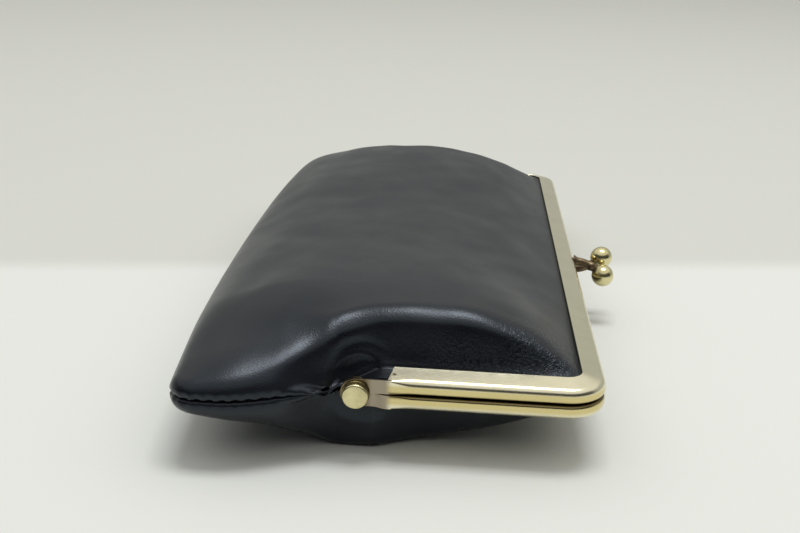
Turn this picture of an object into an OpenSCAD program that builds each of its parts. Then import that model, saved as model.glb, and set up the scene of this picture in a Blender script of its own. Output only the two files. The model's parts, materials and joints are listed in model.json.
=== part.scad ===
// A kiss lock frame purse, lying on its back. X runs along the purse, +Y points to the mouth and
// the lock, and the parting plane between the two frame halves is horizontal.
// Sizes along Y are counted from the rivets, heights from the parting plane.

/* [Frame] */
// Length of the closed frame over its outer faces
frame_w = 210; // [170:1:240]
// Distance from the rivet centres to the outer edge of the bar
arm_h = 60; // [52:1:76]
// Outer radius of the two bent corners
corner_r = 10; // [8.5:0.5:14]
// Width of the face, from the outer edge to the lip
bar_w = 6; // [5:0.1:7]
// Depth of one half at its lip, counted from the parting plane
bar_t = 5; // [4.8:0.1:6]
// Width of the flange that lies along the parting plane
flange_w = 5; // [4.5:0.1:5.5]
// Thickness of the sheet metal
sheet_t = 0.7; // [0.5:0.05:0.8]
// Slope of the face, in degrees
face_slope = 8; // [2:1:10]
// Radius between the web and the face
edge_r = 1.2; // [0.8:0.1:1.8]
// Radius along the parting plane, which makes the groove between the halves
groove_r = 0.9; // [0.5:0.1:1.5]
// Half the gap between the closed halves
half_gap = 0.15; // [0.1:0.05:0.3]

/* [Hinge] */
// Distance from the rivet centre to the end of the channel
tab_end = 7.5; // [6.5:0.5:10]
// Height of the flat tabs, and radius of the ears
ear_r = 4.1; // [3.6:0.1:4.4]
// Running gap between the two ears, face to face
ear_gap = 0.3; // [0.1:0.05:0.4]
// Diameter of the rivet's shank
shank_d = 2.6; // [2:0.1:3]
// Radial clearance of the shank in both ears
shank_clear = 0.05; // [0.02:0.01:0.1]
// Diameter of the rivet's head
head_d = 6.2; // [5:0.1:7.4]
// Height of the rivet's head
head_t = 1.9; // [1.2:0.1:2.4]
// Diameter of the washer under the head
washer_d = 7.2; // [6:0.1:8]
// Thickness of the washer
washer_t = 0.4; // [0.3:0.05:0.6]
// Diameter of the closed inner end of the rivet
peen_d = 4.2; // [3.6:0.1:5]
// Thickness of the closed inner end of the rivet
peen_t = 0.6; // [0.4:0.1:0.8]

/* [Kiss lock] */
// Diameter of each ball
ball_d = 7; // [6:0.1:8]
// Distance of the ball centres from the bar's outer face
ball_out = 9.5; // [8:0.5:12]
// Gap along X between the balls as they pass
ball_pass = 0.3; // [0.2:0.05:0.6]
// Distance of each ball centre from the parting plane, on the far side of its own half
ball_cross = 1.9; // [1:0.1:2.5]
// Diameter of each neck
neck_d = 2.3; // [1.8:0.1:2.8]
// Diameter of the bead at the foot of each neck
bead_d = 3.6; // [3:0.1:4]
// Height of the bead
bead_h = 2.8; // [2:0.1:3.2]
// Distance of each neck's foot from mid length
foot_x = 2.7; // [2.4:0.1:3.4]
// Gap between the bead and the web
bead_gap = 0.1; // [0.05:0.05:0.2]

/* [Leather body] */
// Drop of the leather from the rivets to the bottom corners
body_drop = 44; // [38:1:60]
// How far the bottom seam bows out at mid length
bottom_bow = 4; // [0:0.5:8]
// How far the side seams stand out past the frame
side_flare = 10; // [6:0.5:14]
// How far the side seams stand out right behind the rivets
seam_stand = 2; // [1:0.5:4]
// Run over which they get there
seam_stand_run = 2.6; // [2:0.2:5]
// Radius of the bottom corners in plan
base_corner_r = 7; // [5:0.5:10]
// Height of the upper panel at its full ends
crown_h = 18.2; // [15:0.2:18.4]
// How far the middle of the upper panel dips below its ends
crown_dip = 2.6; // [0:0.2:4]
// Distance of the full ends from the frame's outer faces
ridge_in = 20; // [14:1:30]
// Depth of the lower panel, down to its flat rest patch
belly_h = 18; // [15:0.5:20]
// How much of the belly is pressed flat by the table
belly_press = 4; // [2:0.5:6]
// Run over which the upper panel rounds in to the side seams
end_round = 28; // [16:1:36]
// Run over which the lower panel rounds in to the side seams
belly_end_round = 46; // [30:1:60]
// How far in front of the rivets the dimple at each hinge begins
dimple_front = 6; // [2:1:10]
// How far behind the rivets it ends
dimple_back = 24; // [16:1:30]
// Run over which the upper panel rises from the arms
arm_rise = 11; // [8:1:20]
// Run over which the lower panel drops from the arms
belly_arm_rise = 8; // [6:1:20]
// Run over which the panels round in to the bottom seam
bottom_round = 36; // [26:1:40]
// Run over which the upper panel falls to the bar
bar_fall = 46; // [34:1:50]
// Run over which the lower panel falls to the bar in the middle
belly_fall = 26; // [18:1:40]
// The same run at the ends, where the belly draws back from the bar
belly_end_fall = 58; // [40:1:70]
// Where the bending strip of the upper panel ends behind the rivets
fold_back = 20; // [19.5:0.5:24]
// Where the bending strip of the upper panel ends in front of the rivets
fold_front = 2; // [1.5:0.5:3]

/* [Layers] */
// Thickness of the leather
leather_t = 1.1; // [0.8:0.05:1.2]
// Thickness of the foam padding
pad_t = 1.5; // [1:0.1:2.5]
// Thickness of the lining cloth
lining_t = 0.4; // [0.25:0.05:0.5]
// Gap between neighbouring layers
layer_gap = 0.1; // [0.05:0.05:0.15]
// How far the leather's edge stays inside the outer face of the frame
tuck = 1.2; // [1:0.1:1.6]
// Gap between the leather and the underside of the face
tuck_fit = 0.1; // [0.05:0.05:0.15]
// Share of the half width that the padding covers
pad_reach = 0.85; // [0.6:0.05:0.9]

/* [Seams] */
// Diameter of the sewing thread
thread_d = 0.5; // [0.3:0.05:0.8]
// Length of one stitch
stitch_l = 3; // [2:0.25:4]
// Gap between stitches
stitch_gap = 1.2; // [0.8:0.1:2]
// Distance of the thread from the leather's outer edge
thread_in = 0.6; // [0.5:0.05:0.8]
// Gap between the thread and the leather
thread_fit = 0.1; // [0.05:0.05:0.15]

/* [Hidden] */

BRASS = [0.72, 0.68, 0.50];
OLD_BRASS = [0.50, 0.46, 0.34];
PAPER = [0.80, 0.74, 0.62];
LEATHER = [0.07, 0.08, 0.11];
LOWER_LEATHER = [0.05, 0.06, 0.09];
FOAM = [0.85, 0.83, 0.76];
LINING = [0.22, 0.23, 0.27];
THREAD = [0.03, 0.03, 0.05];

hinge_y = (body_drop + bottom_bow - arm_h - ball_out - ball_d / 2) / 2;
face_x = frame_w / 2;
straight_x = face_x - corner_r;
straight_y = arm_h - corner_r;
jog = sheet_t + ear_gap;
lip_margin = 0.4;
ear_margin = 0.4;
jog_start = ear_r + ear_gap;
jog_end = tab_end - 2 * jog + ear_margin;
cut_slant = 1.3;
dome_r = 0.5;
dome_rise = 0.15;
leather_r = corner_r - tuck;
lip_v = arm_h - bar_w - lip_margin;
lip_inset = bar_w - tuck + lip_margin;
pad_front = arm_h - 2.2 * bar_w;
ear_inside = face_x - jog - sheet_t - peen_t - 0.35;
seam_h = thread_d / 2 + thread_fit;
strip_gap = 0.1;
run_gap = 0.05;
solder_gap = 0.01;
bead_round = 1.16;
smooth_fn = 48;

// Height of the face's outside, and of its underside, at a distance u from the outer edge
function face_z(u) = bar_t - (bar_w - u) * tan(face_slope);
function under_z(u) = face_z(u) - sheet_t / cos(face_slope);

cord_u = bar_w * 0.6;
cord_floor = half_gap + sheet_t + run_gap;
cord_space = under_z(cord_u) - tuck_fit - leather_t - layer_gap - lining_t - cord_floor;
cord_d = cord_space * 0.84;
cord_z = cord_floor + cord_d / 2;

// One frame half: a channel of folded sheet that opens towards the leather
function arc(cx, cy, r, from, to, n) =
    [for (i = [0 : n]) let (a = from + (to - from) * i / n) [cx + r * cos(a), cy + r * sin(a)]];

// Section of the channel, with the distance from the outer edge along -X and the height along Y
module channel_section(outer_at) {
    web_z = face_z(0) + edge_r * tan(face_slope) - edge_r / cos(face_slope);
    outside = concat([[flange_w, half_gap]],
        arc(groove_r, half_gap + groove_r, groove_r, 270, 180, 5),
        arc(edge_r, web_z, edge_r, 180, 90 + face_slope, 6),
        [[bar_w, bar_t]]);
    inside = [[bar_w, under_z(bar_w)], [sheet_t, under_z(sheet_t)],
        [sheet_t, half_gap + sheet_t], [flange_w, half_gap + sheet_t]];
    polygon([for (p = concat(outside, inside)) [outer_at - p[0], p[1]]]);
}

module channel_side() {
    translate([face_x, straight_y, 0]) rotate([90, 0, 0])
        linear_extrude(straight_y - tab_end) channel_section(0);
    translate([straight_x, straight_y, 0])
        rotate_extrude(angle = 90, $fn = smooth_fn) channel_section(corner_r);
    translate([0, arm_h, 0]) rotate([90, 0, 90])
        linear_extrude(straight_x) channel_section(0);
}

// The slanted cut across the end of the face and the flange
module channel_cut() {
    translate([face_x, tab_end, -1]) linear_extrude(bar_t + 2)
        polygon([[-sheet_t, -1], [-sheet_t, 0], [-bar_w - 1, cut_slant], [-bar_w - 1, -1]]);
}

module ear_plate(length) {
    rotate([90, 0, 90]) linear_extrude(sheet_t) difference() {
        union() {
            circle(r = ear_r, $fn = smooth_fn);
            translate([0, half_gap]) square([length, ear_r - half_gap]);
        }
        circle(d = shank_d + 2 * shank_clear, $fn = smooth_fn);
    }
}

// The upper half's ear stands on the outside, flush with the web
module flush_ear() {
    translate([face_x - sheet_t, 0, 0]) ear_plate(tab_end + 1);
}

// The lower half's ear is stepped inwards to pass behind the other one
module stepped_ear() {
    translate([face_x - sheet_t - jog, 0, 0]) ear_plate(jog_start);
    translate([face_x, 0, half_gap]) linear_extrude(ear_r - half_gap)
        polygon([[-jog, jog_start], [0, jog_end], [0, tab_end + 1], [-sheet_t, tab_end + 1],
            [-sheet_t, jog_end], [-sheet_t - jog, jog_start]]);
}

module frame_side() {
    difference() {
        channel_side();
        channel_cut();
    }
    children();
}

module both_sides() {
    children();
    mirror([1, 0, 0]) children();
}

module at_hinge() {
    translate([0, hinge_y, belly_h]) children();
}

module below() {
    mirror([0, 0, 1]) children();
}

module upper_frame() {
    color(BRASS) at_hinge() both_sides() frame_side() flush_ear();
}

module lower_frame() {
    color(BRASS) at_hinge() below() both_sides() frame_side() stepped_ear();
}

// Paper cords that wedge the leather and the lining in the channels
module cord_top() {
    length = 2 * straight_x - 2;
    translate([-length / 2, arm_h - cord_u, cord_z]) rotate([0, 90, 0])
        cylinder(d = cord_d, h = length, $fn = 24);
}

module cord_side() {
    length = straight_y - tab_end - 4;
    translate([face_x - cord_u, straight_y, cord_z]) rotate([90, 0, 0])
        cylinder(d = cord_d, h = length, $fn = 24);
}

module upper_cord_top() {
    color(PAPER) at_hinge() cord_top();
}

module upper_cord_left() {
    color(PAPER) at_hinge() mirror([1, 0, 0]) cord_side();
}

module upper_cord_right() {
    color(PAPER) at_hinge() cord_side();
}

module lower_cord_top() {
    color(PAPER) at_hinge() below() cord_top();
}

module lower_cord_left() {
    color(PAPER) at_hinge() below() mirror([1, 0, 0]) cord_side();
}

module lower_cord_right() {
    color(PAPER) at_hinge() below() cord_side();
}

// One half of the kiss lock: it leaves its own half of the frame and crosses the parting plane
ball_x = (ball_d + ball_pass) / 2;
foot = [foot_x, arm_h + bead_gap + bead_d / 2, (half_gap + face_z(0)) / 2];
ball_centre = [ball_x, arm_h + ball_out, -ball_cross];

// A round bar between two points
module rod(from, to, d) {
    run = to - from;
    length = norm(run);
    translate(from) rotate([0, acos(run[2] / length), atan2(run[1], run[0])])
        cylinder(d = d, h = length, $fn = 32);
}

module lock_neck() {
    difference() {
        union() {
            translate(foot) intersection() {
                cylinder(d = bead_d, h = bead_h, center = true, $fn = 32);
                sphere(d = bead_round * bead_d, $fn = 32);
            }
            rod(foot, ball_centre, neck_d);
        }
        translate(ball_centre) sphere(d = ball_d + 2 * solder_gap, $fn = smooth_fn);
    }
}

module lock_ball() {
    translate(ball_centre) sphere(d = ball_d, $fn = smooth_fn);
}

// The two halves of the lock are the same piece, turned half a turn about Y
module half_turn() {
    rotate([0, 180, 0]) children();
}

module upper_lock_neck() {
    color(OLD_BRASS) at_hinge() lock_neck();
}

module upper_lock_ball() {
    color(BRASS) at_hinge() lock_ball();
}

module lower_lock_neck() {
    color(OLD_BRASS) at_hinge() half_turn() lock_neck();
}

module lower_lock_ball() {
    color(BRASS) at_hinge() half_turn() lock_ball();
}

// Rivets through both ears, with a washer under each head
module rivet() {
    washer_x = face_x + run_gap;
    inner_x = face_x - jog - sheet_t;
    head_x = washer_x + washer_t;
    rotate([0, 90, 0]) {
        translate([0, 0, inner_x - peen_t]) cylinder(d = peen_d, h = peen_t, $fn = smooth_fn);
        translate([0, 0, inner_x - peen_t / 2])
            cylinder(d = shank_d, h = head_x - inner_x + peen_t, $fn = smooth_fn);
        translate([0, 0, head_x]) rotate_extrude($fn = smooth_fn)
            polygon(concat([[0, 0], [head_d / 2, 0]],
                arc(head_d / 2 - dome_r, head_t - dome_r, dome_r, 0, 80, 5),
                [[0, head_t + dome_rise]]));
    }
}

module washer() {
    translate([face_x + run_gap, 0, 0]) rotate([0, 90, 0]) difference() {
        cylinder(d = washer_d, h = washer_t, $fn = smooth_fn);
        translate([0, 0, -1]) cylinder(d = shank_d + 2 * shank_clear, h = washer_t + 2, $fn = smooth_fn);
    }
}

module left_hinge_rivet() {
    color(BRASS) at_hinge() mirror([1, 0, 0]) rivet();
}

module right_hinge_rivet() {
    color(BRASS) at_hinge() rivet();
}

module left_hinge_washer() {
    color(OLD_BRASS) at_hinge() mirror([1, 0, 0]) washer();
}

module right_hinge_washer() {
    color(OLD_BRASS) at_hinge() washer();
}

// Shape of the two panels. A point lies at a share s of the half width and at a distance v in
// front of the rivets, and its height is worked out from how far it is from each edge.
function clamp(t) = max(0, min(1, t));
function smooth(t) = let (c = clamp(t)) c * c * (3 - 2 * c);
function round_off(t) = let (c = 1 - clamp(t)) sqrt(1 - c * c);
function ease(t) = let (c = 1 - clamp(t)) 1 - c * c;

// The side edges pass inside the ears, then flare out behind them
function side_x(v) =
    let (at_ear = smooth((v - ear_r) / (tab_end - ear_r)), behind = -v - ear_r - ear_margin)
    ear_inside + (face_x - tuck - ear_inside) * at_ear
    + (face_x + seam_stand - ear_inside) * smooth(behind / seam_stand_run)
    + (side_flare - seam_stand) * smooth(behind / (body_drop * 0.64));

function half_width(v) =
    v > straight_y ? straight_x + sqrt(max(0, leather_r * leather_r - pow(v - straight_y, 2)))
    : let (low = base_corner_r - body_drop, reach = side_x(max(v, low)))
      v >= low ? reach
      : reach - base_corner_r + sqrt(max(0, base_corner_r * base_corner_r - pow(low - v, 2)));

// Distance inwards from the frame's outer edge
function frame_u(x, v) =
    let (a = abs(x) - straight_x, b = v - straight_y)
    corner_r - (a > 0 && b > 0 ? norm([a, b]) : max(a, b));

function edge_height(x, v) =
    let (held = smooth((v + ear_r) / (tab_end - 0.5 + ear_r)))
    held * (under_z(min(frame_u(x, v), bar_w)) - tuck_fit) + (1 - held) * seam_h;

// Behind the rivets the panels round in to the side seams. In front of them they rise from a line
// that runs along the lip, and that swings out to the seams around the dimple at each hinge.
function rise_x(v) =
    let (lip_x = face_x - bar_w - lip_margin)
    lip_x + (side_x(v) - lip_x) * smooth((dimple_front - v) / (dimple_front + dimple_back));

function side_profile(x, v, end_run, arm_run) =
    let (mouth = smooth((v + dimple_back) / (dimple_back - fold_front)))
    (1 - mouth) * round_off((half_width(v) - abs(x)) / end_run)
    + mouth * smooth((rise_x(v) - abs(x)) / arm_run);

function upper_height(x, v) =
    let (edge = edge_height(x, v), saddle = max(0, 1 - pow(x / (face_x - ridge_in), 2)),
        top = crown_h - crown_dip * saddle * saddle)
    edge + (top - edge) * side_profile(x, v, end_round, arm_rise)
    * round_off((v + body_drop) / bottom_round) * ease((lip_v - v) / bar_fall);

function lower_height(x, v) =
    let (edge = edge_height(x, v), full = belly_h + belly_press,
        near_end = smooth((abs(x) - 0.57 * face_x) / (face_x / 3)),
        fall = belly_fall + (belly_end_fall - belly_fall) * near_end)
    min(belly_h, edge + (full - edge) * side_profile(x, v, belly_end_round, belly_arm_rise)
    * round_off((v + body_drop) / bottom_round) * ease((lip_v - v) / fall));

// Bow of the bottom seam, which fades out towards the bending strip
function bow(x, v) =
    bottom_bow * max(0, 1 - pow(x / (face_x + side_flare - base_corner_r), 2))
    * pow(clamp((-v - fold_back) / (body_drop - fold_back)), 2);

function panel_point(side, s, v) =
    let (x = s * half_width(v))
    [x, v - bow(x, v), side * (side > 0 ? upper_height(x, v) : lower_height(x, v))];

// No point comes nearer to the other panel than the seam allows
function keep_apart(side, p) = [p[0], p[1], side * max(seam_h, side * p[2])];

// A point sunk below the surface along the surface's own normal
function sunk(side, s, v, depth) =
    let (ds = 0.02, dv = 0.6, v_max = arm_h - tuck,
        s_run = panel_point(side, min(1, s + ds), v) - panel_point(side, max(-1, s - ds), v),
        v_run = panel_point(side, s, min(v_max, v + dv)) - panel_point(side, s, max(-body_drop, v - dv)),
        normal = cross(s_run, v_run))
    keep_apart(side, panel_point(side, s, v) - side * depth * normal / norm(normal));

// Depths of the outside and the inside of each layer: 0 leather, 1 padding, 2 lining. The lining
// runs under the padding, and straight under the leather in the channels.
function under_pad(s, v) =
    smooth((1 - lip_inset / (face_x - tuck) - abs(s)) / (1 - lip_inset / (face_x - tuck) - pad_reach))
    * smooth((lip_v - v) / (lip_v - pad_front));
function depth_out(layer, s, v) =
    layer == 0 ? 0
    : layer == 1 ? leather_t + layer_gap
    : leather_t + layer_gap + (pad_t + layer_gap) * under_pad(s, v);

function depth_in(layer, s, v) = depth_out(layer, s, v) + [leather_t, pad_t, lining_t][layer];

module layer_shell(side, layer, rows, cols) {
    nr = len(rows);
    nc = len(cols);
    half = nr * nc;
    points = concat(
        [for (v = rows) for (s = cols) sunk(side, s, v, depth_out(layer, s, v))],
        [for (v = rows) for (s = cols) sunk(side, s, v, depth_in(layer, s, v))]);
    top = [for (i = [0 : nr - 2]) for (j = [0 : nc - 2]) let (k = i * nc + j)
        each [[k, k + nc, k + nc + 1], [k, k + nc + 1, k + 1]]];
    rim = concat([for (j = [0 : nc - 1]) j],
        [for (i = [1 : nr - 1]) i * nc + nc - 1],
        [for (j = [nc - 2 : -1 : 0]) (nr - 1) * nc + j],
        [for (i = [nr - 2 : -1 : 1]) i * nc]);
    n = len(rim);
    wall = [for (i = [0 : n - 1]) let (a = rim[i], b = rim[(i + 1) % n])
        each [[a, b, b + half], [a, b + half, a + half]]];
    faces = concat(top, [for (f = top) [f[2] + half, f[1] + half, f[0] + half]], wall);
    polyhedron(points, side > 0 ? faces : [for (f = faces) [f[2], f[1], f[0]]]);
}

// Lines of the shared grid, closer together where the leather bends most
base_rows = [for (i = [0 : 5]) -body_drop + (body_drop - fold_back) * (1 - cos(18 * i))];
stand_row = -ear_r - ear_margin - seam_stand_run;
fold_rows = [-fold_back, (stand_row - fold_back) / 2, stand_row, -ear_r - ear_margin, fold_front];
lip_angle = asin((corner_r - bar_w - lip_margin) / leather_r);
mouth_rows = concat([fold_front, tab_end - 0.4],
    [for (i = [1 : 5]) tab_end + (straight_y - tab_end) * i / 5],
    [for (i = [0 : 2]) straight_y + leather_r * sin(lip_angle + (90 - lip_angle) * i / 2)]);
edge_cols = [for (a = [0, lip_inset * 0.23, lip_inset, lip_inset + arm_rise * 0.25,
    lip_inset + arm_rise * 0.55, lip_inset + arm_rise]) 1 - a / (face_x - tuck)];
half_cols = concat(edge_cols, [for (share = [0.74, 0.58, 0.33]) share]);
all_cols = concat([for (s = half_cols) -s], [0], [for (i = [len(half_cols) - 1 : -1 : 0]) half_cols[i]]);
pad_cols = [for (s = all_cols) if (abs(s) <= pad_reach) s];
pad_mouth_rows = [for (v = mouth_rows) if (v <= pad_front) v];

function short_of(rows) = concat([for (i = [0 : len(rows) - 2]) rows[i]], [rows[len(rows) - 1] - strip_gap]);
function past(rows) = [for (i = [1 : len(rows) - 1]) rows[i]];
function whole(front) = concat(base_rows, past(fold_rows), past(front));

module upper_panel() {
    color(LEATHER) at_hinge() layer_shell(1, 0, mouth_rows, all_cols);
}

module upper_panel_fold() {
    color(LEATHER) at_hinge() layer_shell(1, 0, short_of(fold_rows), all_cols);
}

module upper_panel_base() {
    color(LEATHER) at_hinge() layer_shell(1, 0, short_of(base_rows), all_cols);
}

module lower_panel() {
    color(LOWER_LEATHER) at_hinge() layer_shell(-1, 0, whole(mouth_rows), all_cols);
}

module upper_padding() {
    color(FOAM) at_hinge() layer_shell(1, 1, pad_mouth_rows, pad_cols);
}

module upper_padding_fold() {
    color(FOAM) at_hinge() layer_shell(1, 1, short_of(fold_rows), pad_cols);
}

module upper_padding_base() {
    color(FOAM) at_hinge() layer_shell(1, 1, short_of(past(base_rows)), pad_cols);
}

module lower_padding() {
    color(FOAM) at_hinge() layer_shell(-1, 1, past(whole(pad_mouth_rows)), pad_cols);
}

module upper_lining() {
    color(LINING) at_hinge() layer_shell(1, 2, mouth_rows, all_cols);
}

module upper_lining_fold() {
    color(LINING) at_hinge() layer_shell(1, 2, short_of(fold_rows), all_cols);
}

module upper_lining_base() {
    color(LINING) at_hinge() layer_shell(1, 2, short_of(past(base_rows)), all_cols);
}

module lower_lining() {
    color(LINING) at_hinge() layer_shell(-1, 2, past(whole(mouth_rows)), all_cols);
}

// Stitches lie in the seam between the two panels, a little inside its outer edge
module stitch(from, to) {
    rod(from, to, thread_d);
}

function side_seam(v) = [half_width(v) - thread_in, v - bow(half_width(v), v), 0];
function bottom_seam(x) = [x, thread_in - body_drop - bow(x, -body_drop), 0];

module side_thread() {
    start = base_corner_r - body_drop;
    pitch = stitch_l + stitch_gap;
    count = floor((-ear_r - 4 - start) / pitch);
    for (i = [0 : count - 1])
        stitch(side_seam(start + i * pitch), side_seam(start + i * pitch + stitch_l));
}

module left_side_thread() {
    color(THREAD) at_hinge() mirror([1, 0, 0]) side_thread();
}

module right_side_thread() {
    color(THREAD) at_hinge() side_thread();
}

module bottom_thread() {
    reach = half_width(-body_drop) - 1;
    pitch = stitch_l + stitch_gap;
    count = floor((2 * reach + stitch_gap) / pitch);
    start = -(count * pitch - stitch_gap) / 2;
    color(THREAD) at_hinge() for (i = [0 : count - 1])
        stitch(bottom_seam(start + i * pitch), bottom_seam(start + i * pitch + stitch_l));
}

upper_frame();
lower_frame();
upper_cord_top();
upper_cord_left();
upper_cord_right();
lower_cord_top();
lower_cord_left();
lower_cord_right();
upper_lock_neck();
upper_lock_ball();
lower_lock_neck();
lower_lock_ball();
left_hinge_rivet();
right_hinge_rivet();
left_hinge_washer();
right_hinge_washer();
upper_panel();
upper_panel_fold();
upper_panel_base();
lower_panel();
upper_padding();
upper_padding_fold();
upper_padding_base();
lower_padding();
upper_lining();
upper_lining_fold();
upper_lining_base();
lower_lining();
left_side_thread();
right_side_thread();
bottom_thread();
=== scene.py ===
import json
import math

import bmesh
import bpy
import numpy as np
from mathutils import Matrix, Vector, noise


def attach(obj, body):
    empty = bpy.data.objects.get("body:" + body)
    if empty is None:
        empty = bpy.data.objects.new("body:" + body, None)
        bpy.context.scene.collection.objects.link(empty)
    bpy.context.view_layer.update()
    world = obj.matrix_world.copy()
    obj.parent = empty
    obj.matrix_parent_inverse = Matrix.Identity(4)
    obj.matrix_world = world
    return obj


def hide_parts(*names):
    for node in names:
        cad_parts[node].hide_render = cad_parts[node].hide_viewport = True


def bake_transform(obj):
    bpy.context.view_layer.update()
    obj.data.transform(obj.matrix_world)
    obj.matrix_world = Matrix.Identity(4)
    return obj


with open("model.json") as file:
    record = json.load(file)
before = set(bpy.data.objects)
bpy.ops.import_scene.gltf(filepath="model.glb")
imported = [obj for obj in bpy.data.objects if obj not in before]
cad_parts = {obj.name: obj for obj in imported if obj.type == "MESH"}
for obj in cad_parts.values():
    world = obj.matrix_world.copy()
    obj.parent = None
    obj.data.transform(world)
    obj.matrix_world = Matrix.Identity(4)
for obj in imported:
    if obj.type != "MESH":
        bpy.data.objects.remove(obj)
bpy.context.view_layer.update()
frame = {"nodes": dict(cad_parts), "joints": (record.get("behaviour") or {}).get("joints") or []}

# ---------------------------------------------------------------------------------------------
# Table, light and camera. The purse lies on a white board on a pale grey table, under one soft
# lamp. The room is pale above and at the far end, and dim low down behind the camera, which
# stands past the right end and looks along the purse, a little down.


def tone(red, green, blue):
    """A colour as it is read off a screen, 0 to 255, as the linear colour that Blender wants."""
    share = [c / 255 for c in (red, green, blue)]
    return tuple(c / 12.92 if c < 0.04045 else ((c + 0.055) / 1.055) ** 2.4 for c in share) + (1,)


def add(tree, kind, values=(), **settings):
    """One node. A value that is a socket is linked, any other is set."""
    made = tree.nodes.new(kind)
    for key, value in settings.items():
        setattr(made, key, value)
    for key, value in dict(values).items():
        if isinstance(value, bpy.types.NodeSocket):
            tree.links.new(value, made.inputs[key])
        else:
            made.inputs[key].default_value = value
    return made


def math_node(tree, operation, *values):
    return add(tree, "ShaderNodeMath", dict(enumerate(values)), operation=operation).outputs[0]


def ramp(tree, value, low, high, from_value=0.0, to_value=1.0):
    """Smooth step of a value from one number to another."""
    made = add(tree, "ShaderNodeMapRange", {"Value": value, "From Min": low, "From Max": high,
               "To Min": from_value, "To Max": to_value}, interpolation_type="SMOOTHSTEP")
    return made.outputs["Result"]


def blend_colour(tree, share, first, second):
    made = add(tree, "ShaderNodeMix", {0: share, 6: first, 7: second}, data_type="RGBA")
    return made.outputs[2]


def new_material(name):
    """An empty material, its Principled shader and the piece's own coordinates."""
    made = bpy.data.materials.new(name)
    made.use_nodes = True
    tree = made.node_tree
    shader = tree.nodes["Principled BSDF"]
    place = tree.nodes.new("ShaderNodeTexCoord").outputs["Object"]
    return made, tree, shader, place


def new_piece(name, mesh, material):
    piece = bpy.data.objects.new(name, mesh)
    bpy.context.scene.collection.objects.link(piece)
    mesh.materials.clear()
    mesh.materials.append(material)
    return piece


board_edge, edge_blur = (0.986, 0.168, -0.0436), 0.009
table_half = 2.2
material, tree, shader, place = new_material("board_and_table")
parts = add(tree, "ShaderNodeSeparateXYZ", {0: place}).outputs
along = math_node(tree, "ADD", math_node(tree, "MULTIPLY", parts[0], board_edge[0]),
                  math_node(tree, "MULTIPLY", parts[1], board_edge[1]))
on_board = ramp(tree, along, board_edge[2] - edge_blur, board_edge[2] + edge_blur)
colour = blend_colour(tree, on_board, tone(215, 216, 210), tone(231, 233, 229))
tree.links.new(colour, shader.inputs["Base Color"])
shader.inputs["Roughness"].default_value = 0.8
shader.inputs["Specular IOR Level"].default_value = 0.1
mesh = bpy.data.meshes.new("table")
corners = [(-1, -1), (1, -1), (1, 1), (-1, 1)]
mesh.from_pydata([(x * table_half, y * table_half, 0) for x, y in corners], [], [(0, 1, 2, 3)])
table = new_piece("table", mesh, material)

lamp_size, lamp_place, lamp_watts = (0.44, 0.8), (0.0, 0.14, 1.6), 11.0
lamp = bpy.data.objects.new("soft_lamp", bpy.data.lights.new("soft_lamp", "AREA"))
lamp.data.shape = "RECTANGLE"
lamp.data.size, lamp.data.size_y = lamp_size
lamp.data.energy = lamp_watts
lamp.location = lamp_place
bpy.context.scene.collection.objects.link(lamp)

far_wall, near_wall, ceiling, backdrop = (tone(174, 176, 172), tone(62, 62, 64), tone(228, 227, 222),
                                          tone(212, 214, 208))
ceiling_edge, near_wall_rise = (0.42, 0.56), 0.1
world = bpy.data.worlds.new("room")
world.use_nodes = True
tree = world.node_tree
direction = add(tree, "ShaderNodeTexCoord").outputs["Generated"]
towards = add(tree, "ShaderNodeSeparateXYZ", {0: direction}).outputs
near_side = ramp(tree, towards[0], -0.2, 0.3)
wall = blend_colour(tree, near_side, far_wall, near_wall)
steepness = math_node(tree, "SUBTRACT", towards[2], math_node(tree, "MULTIPLY", near_side, near_wall_rise))
colour = blend_colour(tree, ramp(tree, steepness, *ceiling_edge), wall, ceiling)
path = add(tree, "ShaderNodeLightPath").outputs
colour = blend_colour(tree, path["Is Camera Ray"], colour, backdrop)
tree.links.new(colour, tree.nodes["Background"].inputs["Color"])
bpy.context.scene.world = world

camera_place = Vector((0.33688, 0.00973, 0.13084))
look_down, look_aside, tilt = 0.33316, -0.05517, 0.03734
focal_px, photo_px = 1080, 800
forward = Vector((-math.cos(look_down) * math.cos(look_aside),
                  math.cos(look_down) * math.sin(look_aside), -math.sin(look_down)))
level = Vector((math.sin(look_aside), math.cos(look_aside), 0))
steep = level.cross(forward)
right = math.cos(tilt) * level + math.sin(tilt) * steep
up = math.cos(tilt) * steep - math.sin(tilt) * level
camera = bpy.data.objects.new("camera", bpy.data.cameras.new("camera"))
camera.data.sensor_width = 36
camera.data.lens = 36 * focal_px / photo_px
camera.matrix_world = Matrix.Translation(camera_place) @ Matrix((right, up, -forward)).transposed().to_4x4()
bpy.context.scene.collection.objects.link(camera)
bpy.context.scene.camera = camera
bpy.context.scene.view_settings.view_transform = "Standard"

# ---------------------------------------------------------------------------------------------
# Two frame halves of folded sheet brass, toned and polished. Each is a channel that opens
# towards the leather, with bent corners, and with a flat tab and an ear at both ends. Sizes are
# in millimetres, v in front of the rivets and h above the parting plane.

hinge = Vector(next(j for j in frame["joints"] if j["name"] == "frame_hinge")["pos_m"])


def at_hinge(points):
    """Points (x, v, h) in millimetres from the rivets, in metres in the row frame."""
    return np.asarray(points, float) / 1000 + np.array(hinge)


face_x, arm_h, corner_r, tab_end = 105.0, 60.0, 10.0, 7.5
bar_w, bar_t, flange_w, sheet_t, half_gap = 6.0, 5.0, 5.0, 0.7, 0.15
face_slope = math.radians(13)
edge_drop = bar_w * math.tan(face_slope)
cut_r, crest_r, inner_r, inner_drop = 0.2, 0.33, 0.3, 0.88


def smooth(t):
    t = np.clip(t, 0, 1)
    return t * t * (3 - 2 * t)


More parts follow.
